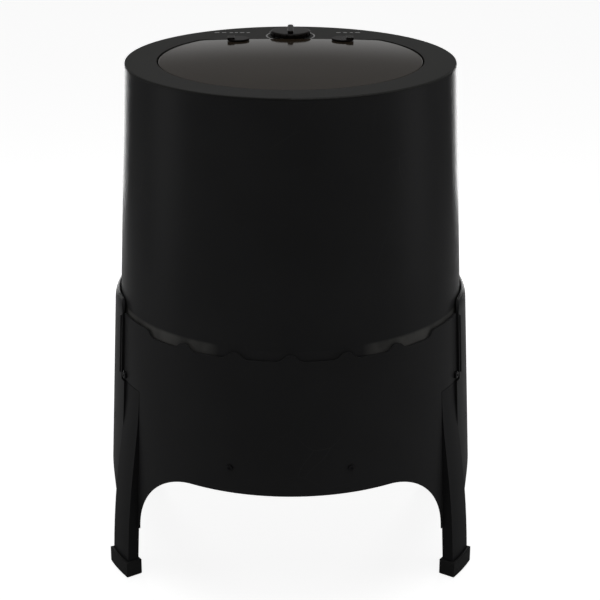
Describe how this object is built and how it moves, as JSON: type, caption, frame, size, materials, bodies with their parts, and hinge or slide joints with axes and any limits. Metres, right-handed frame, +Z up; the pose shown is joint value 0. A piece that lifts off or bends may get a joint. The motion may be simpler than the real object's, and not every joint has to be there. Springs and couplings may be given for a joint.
{
  "type": "compost tumbler",
  "caption": "Round compost drum that turns upright on rollers in a four-legged skirted stand, with a flush hinged lid, lock knob and side catches.",
  "frame": {"origin": "centre of the footprint, on the floor under the four foot caps", "axes": "+Z up along the drum axis, -Y towards the front, where the lid hinge is, +X to the right seen from the front"},
  "size_m": [0.6958, 0.68, 0.964],
  "materials": {
    "stand_plastic": "satin, fine moulded texture",
    "drum_plastic": "satin, fine moulded texture",
    "foot_rubber": "matt",
    "seal_rubber": "matt",
    "fastener_steel": "blackened",
    "bearing_nylon": "smooth nylon",
    "knob_plastic": "semi-gloss",
    "lid_smoke": "polished smoky bronze"
  },
  "bodies": {
    "stand": {"arm_pins": "fastener_steel", "base_ring": "stand_plastic", "centre_axle": "drum_plastic", "column_cap": "drum_plastic", "foot_front_left": "foot_rubber", "foot_front_right": "foot_rubber", "foot_rear_left": "foot_rubber", "foot_rear_right": "foot_rubber", "front_panel": "stand_plastic", "mixer_arm_1": "drum_plastic", "mixer_arm_2": "drum_plastic", "mixer_arm_3": "drum_plastic", "mixer_column": "drum_plastic", "panel_bolts": "fastener_steel", "panel_nuts": "fastener_steel", "panel_screws": "fastener_steel", "rear_panel": "stand_plastic", "ring_bolts": "fastener_steel", "ring_spacers": "stand_plastic", "roller_brackets": "bearing_nylon", "roller_pins": "fastener_steel", "side_frame_left": "stand_plastic", "side_frame_right": "stand_plastic", "thrust_washer": "bearing_nylon"},
    "drum": {"drum_shell": "drum_plastic", "drum_pan": "drum_plastic", "top_deck": "drum_plastic", "drum_fin_1": "drum_plastic", "drum_fin_2": "drum_plastic", "drum_fin_3": "drum_plastic", "track_ring": "drum_plastic", "drum_bush": "bearing_nylon", "floor_seal": "seal_rubber", "pan_screws": "fastener_steel"},
    "lid": {"lid_panel": "lid_smoke", "lid_seal": "seal_rubber"},
    "lock_knob": {"lock_knob": "knob_plastic", "lock_cam": "bearing_nylon", "lock_cam_screw": "fastener_steel"},
    "catch_left": {"catch_left": "knob_plastic", "catch_cam_left": "bearing_nylon", "catch_screw_left": "fastener_steel"},
    "catch_right": {"catch_right": "knob_plastic", "catch_cam_right": "bearing_nylon", "catch_screw_right": "fastener_steel"},
    "roller_1": {"roller_wheel_1": "bearing_nylon"},
    "roller_2": {"roller_wheel_2": "bearing_nylon"},
    "roller_3": {"roller_wheel_3": "bearing_nylon"},
    "roller_4": {"roller_wheel_4": "bearing_nylon"}
  },
  "joints": [
    {"name": "drum_turn", "type": "hinge", "parent": "stand", "child": "drum", "pos_m": [0, 0, 0.3], "axis": [0, 0, 1], "continuous": true},
    {"name": "lid_lift", "type": "hinge", "parent": "drum", "child": "lid", "pos_m": [0, -0.24, 0.948], "axis": [1, 0, 0], "range_deg": [0, 80]},
    {"name": "knob_turn", "type": "hinge", "parent": "lid", "child": "lock_knob", "pos_m": [0, 0.206, 0.948], "axis": [0, 0, 1], "range_deg": [0, 90]},
    {"name": "catch_left_turn", "type": "hinge", "parent": "lid", "child": "catch_left", "pos_m": [-0.099, 0.157, 0.95], "axis": [0, 0, 1], "range_deg": [0, 90]},
    {"name": "catch_right_turn", "type": "hinge", "parent": "lid", "child": "catch_right", "pos_m": [0.099, 0.157, 0.95], "axis": [0, 0, -1], "range_deg": [0, 90]},
    {"name": "roller_1_spin", "type": "hinge", "parent": "stand", "child": "roller_1", "pos_m": [0.19092, -0.19092, 0.288], "axis": [0.7071, -0.7071, 0], "continuous": true},
    {"name": "roller_2_spin", "type": "hinge", "parent": "stand", "child": "roller_2", "pos_m": [0.19092, 0.19092, 0.288], "axis": [0.7071, 0.7071, 0], "continuous": true},
    {"name": "roller_3_spin", "type": "hinge", "parent": "stand", "child": "roller_3", "pos_m": [-0.19092, 0.19092, 0.288], "axis": [-0.7071, 0.7071, 0], "continuous": true},
    {"name": "roller_4_spin", "type": "hinge", "parent": "stand", "child": "roller_4", "pos_m": [-0.19092, -0.19092, 0.288], "axis": [-0.7071, -0.7071, 0], "continuous": true}
  ],
  "couplings": [
    {"joint": "roller_1_spin", "follows": "drum_turn", "ratio": -16.875},
    {"joint": "roller_2_spin", "follows": "drum_turn", "ratio": -16.875},
    {"joint": "roller_3_spin", "follows": "drum_turn", "ratio": -16.875},
    {"joint": "roller_4_spin", "follows": "drum_turn", "ratio": -16.875}
  ]
}
